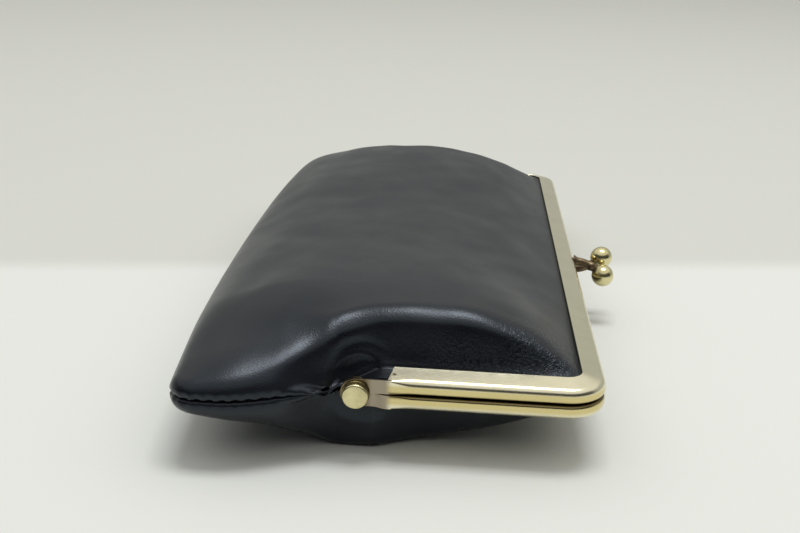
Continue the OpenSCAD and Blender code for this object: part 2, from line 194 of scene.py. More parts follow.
def rounded(corners, steps=8):
    """A closed outline with its corners rounded. A corner is (a, b, radius)."""
    out = []
    for i, (a, b, radius) in enumerate(corners):
        here = Vector((a, b))
        back = (Vector(corners[i - 1][:2]) - here).normalized()
        on = (Vector(corners[(i + 1) % len(corners)][:2]) - here).normalized()
        half = back.angle(on) / 2
        middle = here + (back + on).normalized() * radius / math.sin(half)
        start, end = here + back * radius / math.tan(half) - middle, here + on * radius / math.tan(half) - middle
        for k in range(steps + 1):
            out.append(tuple(middle + start.slerp(end, k / steps).normalized() * radius))
    return out


def channel_section(groove_r, edge_r):
    """Distance from the outer edge, and height, all round the folded sheet. groove_r rounds it at
    the joint, and edge_r along the outer edge of the face."""
    under = bar_t - sheet_t / math.cos(face_slope)
    return rounded([
        (flange_w, half_gap, cut_r), (0, half_gap, groove_r), (0, bar_t - edge_drop, edge_r),
        (bar_w, bar_t, crest_r), (bar_w, under, crest_r),
        (sheet_t, under - edge_drop * inner_drop, max(cut_r, edge_r - sheet_t)),
        (sheet_t, half_gap + sheet_t, inner_r), (flange_w, half_gap + sheet_t, cut_r)])


def node_group(name, kind, inputs, outputs):
    """An empty node group with named sockets. A socket is (name, type) or (name, type, value)."""
    made = bpy.data.node_groups.new(name, kind)
    for in_out, sockets in (("INPUT", inputs), ("OUTPUT", outputs)):
        for label, socket_type, *value in sockets:
            socket = made.interface.new_socket(label, in_out=in_out, socket_type="NodeSocket" + socket_type)
            if value:
                socket.default_value = value[0]
    return made


def sweep_tree():
    """A section that follows a line with rounded corners."""
    made = node_group("bent_channel", "GeometryNodeTree",
                      [("Line", "Geometry"), ("Section", "Object"), ("Corner Radius", "Float"),
                       ("Corner Steps", "Int"), ("Ring Distance", "Float"), ("Metal", "Material")],
                      [("Channel", "Geometry")])
    given = add(made, "NodeGroupInput").outputs
    line = add(made, "GeometryNodeMeshToCurve", {0: given["Line"]}).outputs[0]
    line = add(made, "GeometryNodeFilletCurve", {"Curve": line, "Radius": given["Corner Radius"],
               "Count": given["Corner Steps"]}, mode="POLY").outputs[0]
    line = add(made, "GeometryNodeResampleCurve", {"Curve": line, "Length": given["Ring Distance"]},
               mode="LENGTH").outputs[0]
    line = add(made, "GeometryNodeSetCurveNormal", {"Curve": line}, mode="Z_UP").outputs[0]
    section = add(made, "GeometryNodeObjectInfo", {"Object": given["Section"]}).outputs["Geometry"]
    section = add(made, "GeometryNodeMeshToCurve", {0: section}).outputs[0]
    swept = add(made, "GeometryNodeCurveToMesh", {"Curve": line, "Profile Curve": section}).outputs[0]
    swept = add(made, "GeometryNodeRealizeInstances", {0: swept}).outputs[0]
    swept = add(made, "GeometryNodeSetMaterial", {"Geometry": swept, "Material": given["Metal"]}).outputs[0]
    add(made, "NodeGroupOutput", {0: swept})
    return made


def line_mesh(name, points, closed=False):
    mesh = bpy.data.meshes.new(name)
    edges = [(i, i + 1) for i in range(len(points) - 1)] + ([(len(points) - 1, 0)] if closed else [])
    mesh.from_pydata([tuple(p) for p in points], edges, [])
    return mesh


def grown(name, mesh, tree, **values):
    """The plain mesh that a Geometry Nodes tree makes from a mesh."""
    carrier = bpy.data.objects.new(name, mesh)
    bpy.context.scene.collection.objects.link(carrier)
    modifier = carrier.modifiers.new(name, "NODES")
    modifier.node_group = tree
    sockets = {s.name.replace(" ", "_"): s.identifier for s in tree.interface.items_tree if s.in_out == "INPUT"}
    for key, value in values.items():
        modifier[sockets[key]] = value
    bpy.context.view_layer.update()
    made = bpy.data.meshes.new_from_object(carrier.evaluated_get(bpy.context.evaluated_depsgraph_get()))
    bpy.data.objects.remove(carrier)
    return made


def set_relief(tree, shader, height, strength, distance):
    bump = add(tree, "ShaderNodeBump", {"Height": height, "Strength": strength, "Distance": distance})
    tree.links.new(bump.outputs[0], shader.inputs["Normal"])


def brass_toning():
    """Colour, roughness and fine relief of brass that was darkened and rubbed bright again."""
    made = node_group("brass_toning", "ShaderNodeTree",
                      [("Place", "Vector"), ("Bright", "Color", (0.8, 0.7, 0.4, 1)),
                       ("Toned", "Color", (0.3, 0.25, 0.15, 1)), ("Toning", "Float", 0.3), ("Polish", "Float", 0.25)],
                      [("Color", "Color"), ("Roughness", "Float"), ("Height", "Float")])
    given = add(made, "NodeGroupInput").outputs
    cloud = add(made, "ShaderNodeTexNoise", {"Vector": given["Place"], "Scale": 160, "Detail": 4}).outputs[0]
    fine = add(made, "ShaderNodeTexNoise", {"Vector": given["Place"], "Scale": 1800, "Detail": 3}).outputs[0]
    stain = ramp(made, math_node(made, "ADD", cloud, math_node(made, "MULTIPLY", fine, 0.15)), 0.45, 0.75)
    stain = math_node(made, "MULTIPLY", stain, given["Toning"])
    brushed = add(made, "ShaderNodeMapping", {"Vector": given["Place"], "Scale": (0.04, 1, 1)}).outputs[0]
    brush = add(made, "ShaderNodeTexNoise", {"Vector": brushed, "Scale": 5200, "Detail": 2}).outputs[0]
    colour = blend_colour(made, stain, given["Bright"], given["Toned"])
    rough = math_node(made, "ADD", given["Polish"], math_node(made, "MULTIPLY", stain, 0.25))
    rough = math_node(made, "ADD", rough, math_node(made, "MULTIPLY", math_node(made, "SUBTRACT", brush, 0.5), 0.05))
    add(made, "NodeGroupOutput", {"Color": colour, "Roughness": rough, "Height": brush})
    return made


toning = brass_toning()
# Where a frame half changes colour, in metres: the top of the painted shade on the channel sides, where the joint's
# old tone and painted shade begin, where the tabs and the ears begin, and the place and radii of the dark spot
# painted as shade for each crimp dimple.
web_top, joint_tone_and_shade_from, tab_front, ear_front = (0.0019, 0.003), (0.0068, 0.0082), (0.0068, 0.0088), (0.0022, 0.004)
crimp_dimple_shade, dimple_shade_r = (0.10225, 0.0089, 0.0044), (0.0003, 0.0007)


def toned_and_shaded_by_place(tree, place, colour, tone_and_shade_colour, groove, web, tab):
    """The colour of a frame half by place: old tone and painted shade in the joint, up to the height
    given; painted shade with some old tone on the sides of the channel, in the web colour; a greyer
    tab colour on the tabs and a darker colour round the ears. Each channel end also has a small dark
    spot, painted shade for the dimple where a tool pinched it shut."""
    parts = add(tree, "ShaderNodeSeparateXYZ", {0: place}).outputs
    height = math_node(tree, "ABSOLUTE", math_node(tree, "SUBTRACT", parts[2], hinge.z))
    in_front = math_node(tree, "SUBTRACT", parts[1], hinge.y)
    # The lower sides of the channel are painted darker: painted shade, with some old tone.
    colour = blend_colour(tree, ramp(tree, height, *web_top, 0.85, 0.0), colour, web)
    # Old tone and painted shade in the joint between the halves, from the tabs onward.
    in_joint_tone_and_shade = math_node(tree, "MULTIPLY", ramp(tree, height, groove * 0.3, groove, 1.0, 0.0),
                         ramp(tree, in_front, *joint_tone_and_shade_from))
    colour = blend_colour(tree, in_joint_tone_and_shade, colour, tone_and_shade_colour)
    colour = blend_colour(tree, ramp(tree, in_front, *tab_front, 1.0, 0.0), colour, tab)
    colour = blend_colour(tree, ramp(tree, in_front, *ear_front, 0.7, 0.0), colour, tone_and_shade_colour)
    # A dark spot painted as the shade of the crimp dimple, which is not in the mesh.
    folded = add(tree, "ShaderNodeCombineXYZ", {0: math_node(tree, "ABSOLUTE", parts[0]), 1: in_front, 2: height})
    from_dimple_shade = add(tree, "ShaderNodeVectorMath", {0: folded.outputs[0], 1: crimp_dimple_shade}, operation="DISTANCE")
    return blend_colour(tree, ramp(tree, from_dimple_shade.outputs["Value"], *dimple_shade_r, 0.9, 0.0), colour, tone_and_shade_colour)


def brass(name, bright, tone_and_shade_colour, amount, polish, **left_toned):
    """A brass finish, of amount 0 to 1 of its toned colour in clouds. Colours given by place add painted shade and
    old tone.
    """
    made, tree, shader, place = new_material(name)
    finish = add(tree, "ShaderNodeGroup", node_tree=toning)
    tree.links.new(place, finish.inputs["Place"])
    finish.inputs["Bright"].default_value = bright
    finish.inputs["Toned"].default_value = tone_and_shade_colour
    finish.inputs["Toning"].default_value = amount
    finish.inputs["Polish"].default_value = polish
    colour = finish.outputs["Color"]
    if left_toned:
        colour = toned_and_shaded_by_place(tree, place, colour, tone_and_shade_colour, **left_toned)
    tree.links.new(colour, shader.inputs["Base Color"])
    tree.links.new(finish.outputs["Roughness"], shader.inputs["Roughness"])
    set_relief(tree, shader, finish.outputs["Height"], 0.02, 0.0001)
    shader.inputs["Metallic"].default_value = 1
    return made


# The frame's colour holds painted shade in the joint, on the sides of the channel and in the dark spot for each crimp
# dimple, besides old tone.
frame_brass = brass("toned_brass", tone(243, 236, 206), tone(104, 90, 58), 0.07, 0.22, groove=0.0011,
                    web=tone(214, 197, 134), tab=tone(158, 147, 130))

ear_r, jog, jog_from, jog_run = 3.75, 1.0, 4.0, 3.2
tab_inset, tab_edge_r = 0.03, 0.14


def tab_and_ear():
    """The flat tab with its round ear, seen from the side: (v, h) in order round its edge."""
    ear = [(ear_r * math.cos(a), ear_r * math.sin(a)) for a in np.linspace(math.radians(-2), math.radians(-270), 44)]
    start = [(tab_end + 1.0, ear_r), (tab_end + 1.0, 1.25), (tab_end + 0.8, 0.55), (tab_end + 0.25, 0.2),
             (tab_end - 0.4, half_gap)]
    return start + [(ear_r + 0.05, half_gap)] + ear


def step_in(v):
    """How far the lower ear is stepped inwards, to pass behind the upper one."""
    return jog * (1 - float(smooth((v - jog_from) / jog_run)))


def add_tab(shape, side, stepped):
    """Adds one tab with its ear to a mesh, as a plate with its edges eased."""
    plate = bmesh.new()
    ring = [plate.verts.new((face_x - tab_inset, v, h)) for v, h in tab_and_ear()]
    face = plate.faces.new(ring)
    grown_part = bmesh.ops.extrude_face_region(plate, geom=[face])
    bmesh.ops.translate(plate, vec=(-sheet_t + 2 * tab_inset, 0, 0),
                        verts=[g for g in grown_part["geom"] if isinstance(g, bmesh.types.BMVert)])
    rims = [e for e in plate.edges if abs(e.verts[0].co.x - e.verts[1].co.x) < 1e-6]
    bmesh.ops.bevel(plate, geom=rims, offset=tab_edge_r, segments=2, profile=0.6, affect="EDGES")
    if stepped:
        for v in np.linspace(jog_from, jog_from + jog_run, 12):
            bmesh.ops.bisect_plane(plate, geom=[*plate.verts, *plate.edges, *plate.faces],
                                   plane_co=(0, v, 0), plane_no=(0, 1, 0))
        for vert in plate.verts:
            vert.co.x -= step_in(vert.co.y)
    bmesh.ops.recalc_face_normals(plate, faces=plate.faces)
    for vert in plate.verts:
        vert.co.x *= side
    if side < 0:
        bmesh.ops.reverse_faces(plate, faces=plate.faces)
    made = bpy.data.meshes.new("tab")
    plate.to_mesh(made)
    plate.free()
    shape.from_mesh(made)
    bpy.data.meshes.remove(made)


def smooth_faces(mesh, sharp_angle=None):
    mesh.shade_smooth()
    if sharp_angle:
        mesh.set_sharp_from_angle(angle=math.radians(sharp_angle))


def evened(piece):
    """Keeps flat faces flat under smooth shading, and stores that in the mesh itself."""
    even = piece.modifiers.new("even", "WEIGHTED_NORMAL")
    even.keep_sharp = True
    bpy.context.view_layer.update()
    made = bpy.data.meshes.new_from_object(piece.evaluated_get(bpy.context.evaluated_depsgraph_get()))
    piece.modifiers.clear()
    piece.data = made
    return piece


sweep = sweep_tree()
round_section, square_section = channel_section(1.0, 2.0), channel_section(0.12, 0.45)
section = line_mesh("section", [(-u, -h, 0) for u, h in round_section], closed=True)
section = bpy.data.objects.new("section", section)
bpy.context.scene.collection.objects.link(section)
arm_line = [(face_x, tab_end, 0), (face_x, arm_h, 0), (-face_x, arm_h, 0), (-face_x, tab_end, 0)]
square_run, end_slant, slant_from, slant_run = 6, 1.3, 9.5, 2


def frame_half(name, upwards, stepped):
    """One frame half. Towards the tabs its section is squared up, and its ends are cut at a slant."""
    channel = grown(name, line_mesh(name, arm_line), sweep, Section=section, Corner_Radius=corner_r,
                    Corner_Steps=16, Ring_Distance=1.25, Metal=frame_brass)
    for i, vert in enumerate(channel.vertices):
        near_tab = 1 - float(smooth((vert.co.y - tab_end) / square_run))
        if near_tab > 0:
            u, h = square_section[i % len(square_section)]
            round_u, round_h = round_section[i % len(round_section)]
            side = math.copysign(1, vert.co.x)
            vert.co.x -= side * (u - round_u) * near_tab
            vert.co.z += (h - round_h) * near_tab
            from_edge = face_x - abs(vert.co.x)
            at_end = float(smooth((slant_from - vert.co.y) / slant_run))
            vert.co.y += end_slant * max(0, from_edge - sheet_t) / (bar_w - sheet_t) * at_end
    shape = bmesh.new()
    shape.from_mesh(channel)
    ends = [e for e in shape.edges if e.is_boundary]
    bmesh.ops.holes_fill(shape, edges=ends)
    bmesh.ops.recalc_face_normals(shape, faces=shape.faces)
    for side in (1, -1):
        add_tab(shape, side, stepped)
    for vert in shape.verts:
        vert.co.z *= upwards
    if upwards < 0:
        bmesh.ops.reverse_faces(shape, faces=shape.faces)
    mesh = bpy.data.meshes.new(name)
    shape.to_mesh(mesh)
    shape.free()
    points = at_hinge([v.co for v in mesh.vertices])
    mesh.vertices.foreach_set("co", points.astype(np.float32).ravel())
    smooth_faces(mesh, 40)
    return evened(new_piece(name, mesh, frame_brass))


upper_rail = frame_half("upper_rail", 1, False)
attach(upper_rail, "upper_half")
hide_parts("upper_frame")
lower_rail = frame_half("lower_rail", -1, True)
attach(lower_rail, "lower_half")
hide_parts("lower_frame")
bpy.data.objects.remove(section)

# ---------------------------------------------------------------------------------------------
# Hinge rivets of solid brass, set through both ears and closed on the inside, and the thin
# washer of darker brass under each head. The heads are flat with a soft edge.


def tidied(mesh):
    """Joins points that lie together, and turns every face outward."""
    shape = bmesh.new()
    shape.from_mesh(mesh)
    bmesh.ops.remove_doubles(shape, verts=shape.verts, dist=1e-5)
    bmesh.ops.recalc_face_normals(shape, faces=shape.faces)
    shape.to_mesh(mesh)
    shape.free()
    smooth_faces(mesh, 50)
    return mesh


def turned(name, profile, material, steps=64):
    """A turned part about the X axis. The profile is (x, radius), from one end to the other."""
    count = len(profile)
    points, faces = [], []
    for x, radius in profile:
        points += [(x, radius * math.cos(a), radius * math.sin(a)) for a in np.arange(steps) * 2 * math.pi / steps]
    for i in range(count - 1):
        for k in range(steps):
            on = (k + 1) % steps
            faces.append((i * steps + k, i * steps + on, (i + 1) * steps + on, (i + 1) * steps + k))
    mesh = bpy.data.meshes.new(name)
    mesh.from_pydata(points, [], faces)
    return new_piece(name, tidied(mesh), material)


def arc(x, radius, curve, start, end, steps=6):
    """Profile points of a quarter round."""
    return [(x + curve * math.sin(math.radians(a)), radius + curve * math.cos(math.radians(a)))
            for a in np.linspace(start, end, steps + 1)]


def set_in_place(piece, side):
    """Moves a turned part to its rivet: side 1 is the right hinge, and -1 the left one."""
    points = np.array([v.co for v in piece.data.vertices])
    points[:, 0] *= side
    piece.data.vertices.foreach_set("co", at_hinge(points).astype(np.float32).ravel())
    if side < 0:
        piece.data.flip_normals()
    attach(piece, "lower_half")


washer_x, washer_t, head_r, head_t = face_x + 0.05, 0.4, 3.15, 1.9
head_x = washer_x + washer_t
peen_x = face_x - jog - sheet_t
rivet_profile = ([(peen_x - 0.6, 0)] + arc(peen_x - 0.35, 1.85, 0.25, -90, 0, 4) + [(peen_x, 2.1), (peen_x, 1.3),
                 (head_x, 1.3), (head_x, head_r - 0.15), (head_x + 0.15, head_r)]
                 + arc(head_x + head_t - 0.5, head_r - 0.5, 0.5, 0, 80, 7)
                 + [(head_x + head_t + 0.03, 1.8), (head_x + head_t + 0.08, 0.9), (head_x + head_t + 0.1, 0)])
washer_profile = [(washer_x, 1.36), (washer_x, 3.28), (washer_x + 0.08, 3.36), (washer_x + 0.3, 3.36),
                  (washer_x + washer_t, 3.28), (washer_x + washer_t, 1.36), (washer_x, 1.36)]
rivet_brass = brass("rivet_brass", tone(222, 214, 168), tone(140, 124, 80), 0.3, 0.24)
old_brass = brass("old_brass", tone(150, 136, 98), tone(70, 58, 40), 0.8, 0.33)
for side, which in ((1, "right"), (-1, "left")):
    rivet = turned(which + "_rivet", rivet_profile, rivet_brass)
    set_in_place(rivet, side)
    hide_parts(which + "_hinge_rivet")
    washer = turned(which + "_washer", washer_profile, old_brass)
    set_in_place(washer, side)
    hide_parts(which + "_hinge_washer")

# ---------------------------------------------------------------------------------------------
# The kiss lock: two brass balls, each on a neck that is soldered to its own frame half and
# crosses the parting plane, so that the balls snap past each other.

ball_r, ball_x, ball_v, ball_cross = 3.5, 3.65, 69.5, 1.9
foot_x, foot_h = 2.7, 2.15
neck_r, neck_share = 1.3, 0.86
foot_swell, foot_fade, bead_swell, bead_at, bead_fade = 0.75, 0.07, 0.28, 0.56, 0.05


def lock_neck(name, turn):
    """A neck that starts square to the bar and bends to the ball, with a foot and a bead on the
    way. It ends inside the ball, at neck_share of the curve. turn is 1 above and -1 below."""
    start, end = Vector((foot_x, arm_h + 0.02, foot_h)), Vector((ball_x, ball_v, -ball_cross))
    lead, arrive = start + Vector((0, 3.2, 0.2)), end - Vector((0.4, 2.6, -2.6))
    rings, steps, count = [], 28, 22
    for i in range(count + 1):
        t = i / count * neck_share
        point = (1 - t) ** 3 * start + 3 * (1 - t) ** 2 * t * lead + 3 * (1 - t) * t * t * arrive + t ** 3 * end
        ahead = 3 * (1 - t) ** 2 * (lead - start) + 6 * (1 - t) * t * (arrive - lead) + 3 * t * t * (end - arrive)
        ahead.normalize()
        radius = (neck_r + foot_swell * math.exp(-(t / foot_fade) ** 2)
                  + bead_swell * math.exp(-((t - bead_at) / bead_fade) ** 2))
        across = ahead.cross(Vector((1, 0, 0))).normalized()
        aside = ahead.cross(across)
        rings.append([point + radius * (math.cos(a) * across + math.sin(a) * aside)
                      for a in np.arange(steps) * 2 * math.pi / steps])
    points = np.array([p for ring in rings for p in ring])
    points[:, [0, 2]] *= turn
    faces = [(i * steps + k, i * steps + (k + 1) % steps, (i + 1) * steps + (k + 1) % steps, (i + 1) * steps + k)
             for i in range(count) for k in range(steps)]
    faces += [tuple(range(steps)), tuple(range(count * steps, (count + 1) * steps))]
    mesh = bpy.data.meshes.new(name)
    mesh.from_pydata(at_hinge(points).tolist(), [], faces)
    return new_piece(name, tidied(mesh), neck_brass)


def lock_ball(name, turn):
    shape = bmesh.new()
    bmesh.ops.create_uvsphere(shape, u_segments=56, v_segments=36, radius=ball_r)
    mesh = bpy.data.meshes.new(name)
    shape.to_mesh(mesh)
    shape.free()
    points = np.array([v.co for v in mesh.vertices]) + np.array((turn * ball_x, ball_v, -turn * ball_cross))
    mesh.vertices.foreach_set("co", at_hinge(points).astype(np.float32).ravel())
    smooth_faces(mesh)
    return new_piece(name, mesh, ball_brass)


neck_brass = brass("neck_brass", tone(132, 116, 92), tone(66, 54, 40), 0.8, 0.32)
ball_brass = brass("ball_brass", tone(222, 212, 164), tone(120, 104, 66), 0.45, 0.2)
for half, turn in (("upper", 1), ("lower", -1)):
    neck = lock_neck(half + "_neck", turn)
    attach(neck, half + "_lock")
    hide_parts(half + "_lock_neck")
    ball = lock_ball(half + "_ball", turn)
    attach(ball, half + "_lock")
    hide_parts(half + "_lock_ball")

# ---------------------------------------------------------------------------------------------
# Upper and lower leather panel: one soft calf skin each, navy black, cut full and sewn right
# sides together, then turned, so that both roll in to the seam. The frame pinches their fronts.

drop, bottom_bow, side_flare, seam_stand, base_r = 44.0, 4.0, 10.0, 2.0, 7.0
tuck, lip_v, seam_h = 2.2, 53.6, 0.35
crown, belly, saddle_dip, near_drop, far_drop = 18.2, 18, 2.6, 5.5, 1.0
welt_t, stitch_pitch = 3.4, 3.0
leather_r, straight_x, straight_v = corner_r - tuck, face_x - corner_r, arm_h - corner_r
ear_inside, leather_t, below_sheet = 102.35, 1.1, 0.107
behind_ear, step_run, flare_share = 0.4, 2.6, 0.64
folds_from, folds_run, fold_ends = 88, 8, 0.25
panel_rows, panel_columns, crowding = 160, 132, 1.35


def round_off(t, fullness=2.0):
    """Rises from 0 to 1 as a quarter of an ellipse, or of a slacker curve."""
    return (1 - (1 - np.clip(t, 0, 1)) ** fullness) ** (1 / fullness)


def ease(t):
    t = 1 - np.clip(t, 0, 1)
    return 1 - t * t


def side_reach(v):
    """Half the body's width. The sides pass inside the ears and flare out behind them."""
    behind = -v - ear_r - behind_ear
    return (ear_inside + (face_x - tuck - ear_inside) * smooth((v - ear_r) / (tab_end - ear_r))
            + (face_x + seam_stand - ear_inside) * smooth(behind / step_run)
            + (side_flare - seam_stand) * smooth(behind / (drop * flare_share)))


def full_width(v):
    """Half the width that the swell of the panel goes by, without the step inside the ears."""
    return (face_x - tuck + (seam_stand + tuck) * smooth((6 - v) / 15)
            + (side_flare - seam_stand) * smooth((-v - 3) / (drop * 0.67)))


def half_width(v):
    """Half the panel's width at its outline, round the corners too."""
    front = straight_x + np.sqrt(np.maximum(0, leather_r ** 2 - (v - straight_v) ** 2))
    low = base_r - drop
    reach = side_reach(np.maximum(v, low))
    corner = reach - base_r + np.sqrt(np.maximum(0, base_r ** 2 - np.minimum(0, v - low) ** 2))
    return np.where(v > straight_v, front, np.where(v >= low, reach, corner))


def edge_height(x, v):
    """Height of the panel's edge: under the sheet where the frame holds it, or at the seam."""
    a, b = np.abs(x) - straight_x, v - straight_v
    from_edge = corner_r - np.where((a > 0) & (b > 0), np.hypot(a, b), np.maximum(a, b))
    under = bar_t - (bar_w - np.minimum(from_edge, bar_w)) * edge_drop / bar_w - sheet_t - below_sheet
    held = smooth((v + ear_r) / (tab_end - 0.5 + ear_r))
    return held * under + (1 - held) * seam_h


def side_swell(x, v, swing, arm_run, end_run, fullness=2.0):
    """How the swell rises from the sides: steeply, from a line along the frame's lip, which
    swings out to the side seams around each hinge. swing is where that starts and its length. It
    is full after arm_run beside the arms, and after end_run behind the hinges."""
    lip_x = face_x - bar_w - 0.4
    full = np.where(v < base_r - drop, half_width(v), full_width(v))
    past_ear = ear_inside + (half_width(v) - ear_inside) * smooth((-3 - v) / 16)
    foot = np.minimum(lip_x + (full - lip_x) * smooth((swing[0] - v) / swing[1]), past_ear)
    in_from_foot = foot - np.abs(x)
    behind = smooth((-4 - v) / 22)
    run, slack = arm_run + (end_run - arm_run) * behind, fullness + (2 - fullness) * behind
    step_off = behind + (1 - behind) * (0.25 + 0.75 * smooth(in_from_foot / 4))
    return round_off(in_from_foot / run, slack) * step_off


def welt(x, v):
    """The turned edges inside the seam keep the panel this full right beside it, and less so
    towards the far corner."""
    beside = round_off((half_width(v) - np.abs(x)) / welt_t) * round_off((v + drop) / welt_t)
    return welt_t * beside * smooth((-4 - v) / 18) * (1 - 0.55 * smooth((-x - 60) / 40))


def with_welt(x, v, swell):
    """A panel's height where both its swell and the welt under it hold it up."""
    return edge_height(x, v) + (swell ** 3 + welt(x, v) ** 3) ** (1 / 3)


def upper_height(x, v):
    """Height of the upper panel. It sags at mid length, and drops behind both hinges. Each run is
    the distance over which its swell rises: from the bar, an arm or the bottom seam."""
    saddle = np.maximum(0, 1 - (x / (face_x - 20)) ** 2)
    top = crown - saddle_dip * saddle ** 2 - edge_height(x, v)
    top = top - np.where(x > 0, near_drop, far_drop) * smooth((np.abs(x) - 76) / 26) * smooth((12 - v) / 30)
    front_run = 46 - 13 * smooth((x - 40) / 45)
    arm_run = 14.5 - 5 * smooth((x + 40) / 80)
    base_run = 36 + 22 * smooth((-x - 30) / 60)
    return with_welt(x, v, top * side_swell(x, v, (6, 26), arm_run, end_run=27)
                     * round_off((v + drop) / base_run) * ease((lip_v - v) / front_run))


def lower_height(x, v):
    """Depth of the lower panel, which rises gently to the bar at both ends."""
    near_end = smooth((np.abs(x) - 0.57 * face_x) / (face_x / 3))
    swell = (belly - edge_height(x, v)) * side_swell(x, v, (17, 17), arm_run=7, end_run=46, fullness=2.5)
    return with_welt(x, v, swell * round_off((v + drop) / 40) * ease((lip_v - v) / (26 + 32 * near_end)))


def bow(x, v):
    """The bottom seam bows out at mid length."""
    return (bottom_bow * np.maximum(0, 1 - (x / (face_x + side_flare - base_r)) ** 2)
            * np.clip((-v - 20) / (drop - 20), 0, 1) ** 2)


def even_rows(height, count):
    """Lines across the panel, evenly spaced along its surface from the bottom seam to the bar, as
    measured halfway between the middle and the sides."""
    v = -drop + (drop + arm_h - tuck) * (1 - np.cos(np.linspace(0, math.pi / 2, 2000)))
    run = np.concatenate([[0], np.cumsum(np.hypot(np.diff(v), np.diff(height(70 + 0 * v, v))))])
    return np.interp(np.linspace(0, run[-1], count), run, v)


def panel_grid(height, side, rows, count, reach=1.0):
    """Points of a panel's outside, closer together towards the side seams."""
    grid = []
    for v in rows:
        x = np.sin(np.linspace(0, math.pi / 2, 1200)) * half_width(v) * reach
        run = np.concatenate([[0], np.cumsum(np.hypot(np.diff(x), np.diff(height(x, v))))])
        x = np.interp(run[-1] * (1 - (1 - np.linspace(0, 1, count)) ** crowding), run, x)
        x = np.concatenate([-x[:0:-1], x])
        grid.append(np.stack([x, v - bow(x, v), side * height(x, v)], axis=1))
    return np.array(grid)


def outward(grid, side):
    """Unit normals. A bottom corner, where two edges of the grid lie in line, takes its neighbour's."""
    across, along = np.gradient(grid, axis=1), np.gradient(grid, axis=0)
    normal = side * np.cross(across, along)
    normal[0, [0, -1]] = normal[1, [0, -1]]
    return normal / np.maximum(1e-9, np.linalg.norm(normal, axis=2, keepdims=True))


def shell(name, outside, inside, side, material):
    """A closed shell between two grids of points of the same size."""
    rows, cols = outside.shape[:2]
    half = rows * cols
    index = np.arange(half).reshape(rows, cols)
    quads = np.stack([index[:-1, :-1], index[:-1, 1:], index[1:, 1:], index[1:, :-1]], axis=2).reshape(-1, 4)
    rim = np.concatenate([index[0, :-1], index[:-1, -1], index[-1, :0:-1], index[:0:-1, 0]])
    on = np.roll(rim, -1)
    wall = np.stack([on, rim, rim + half, on + half], axis=1)
    faces = np.concatenate([quads, quads[:, ::-1] + half, wall])
    if side < 0:
        faces = faces[:, ::-1]
    mesh = bpy.data.meshes.new(name)
    points = at_hinge(np.concatenate([outside.reshape(-1, 3), inside.reshape(-1, 3)]))
    mesh.from_pydata(points.tolist(), [], faces.tolist())
    smooth_faces(mesh, 60)
    return new_piece(name, mesh, material)


def rolled_seam(grid, normal, side):
    """Rolls the edge in to the seam and puckers it once for each stitch. pull is 1 in a pucker and
    0 between two."""
    x, v, h = grid[..., 0], grid[..., 1], np.abs(grid[..., 2])
    behind = smooth((-v - 5.5) / 2.5)
    along_side = np.abs(normal[..., 0]) ** 2 * np.cos(2 * math.pi * v / stitch_pitch)
    along_base = np.abs(normal[..., 1]) ** 2 * np.cos(2 * math.pi * x / stitch_pitch)
    pull = 0.5 + 0.5 * (along_side + along_base)
    roll = 0.9 + 1.3 * pull
    t = np.clip((h - seam_h) / roll, 0, 1)
    depth = (0.9 + 0.8 * pull) * (1 - np.sqrt(1 - (1 - t) ** 2))
    close = (seam_h - 0.07) * behind * (1 - smooth((h - seam_h) / 1.5))
    moved = grid - normal * (depth * behind)[..., None]
    moved[..., 2] -= side * close
    return moved


def fold(grid, angles, radii, width, rise):
    """A fold in the leather that winds round the hinge. Its radius goes from the first to the
    second of radii between two angles, in degrees from straight ahead."""
    x, v, h = np.abs(grid[..., 0]), grid[..., 1], np.abs(grid[..., 2])
    share = (np.degrees(np.arctan2(h, v)) - angles[0]) / (angles[1] - angles[0])
    off = (np.hypot(v, h) - radii[0] - (radii[1] - radii[0]) * share) / width
    faded = smooth(share / fold_ends) * smooth((1 - share) / fold_ends) * smooth((x - folds_from) / folds_run)
    return rise * np.exp(-off ** 2) * faded


def soft_waves(grid, pitch, rise, seed):
    """Slow, uneven waves, up to rise high, that die out at the edges of the panel."""
    x, v = grid[..., 0], grid[..., 1]
    place = [Vector((a / pitch, b / (0.6 * pitch), seed)) for a, b in zip(x.ravel(), v.ravel())]
    waves = np.array([noise.noise(p) for p in place]).reshape(x.shape)
    inner = smooth((half_width(v) - np.abs(x)) / 14) * smooth((v + drop) / 14) * smooth((lip_v - 3 - v) / 10)
    return rise * waves * inner


def panel(name, height, side, material, folds, waves):
    """A leather panel. A fold is what fold() takes, and a wave what soft_waves() takes."""
    grid = panel_grid(height, side, even_rows(height, panel_rows), panel_columns)
    normal = outward(grid, side)
    lift = sum(fold(grid, *each) for each in folds) + sum(soft_waves(grid, *each) for each in waves)
    grid = grid + normal * lift[..., None]
    normal = outward(grid, side)
    outside = rolled_seam(grid, normal, side)
    inside = outside - outward(outside, side) * leather_t
    inside[..., 2] = side * np.maximum(seam_h - 0.2, side * inside[..., 2])
    return shell(name, outside, inside, side, material)


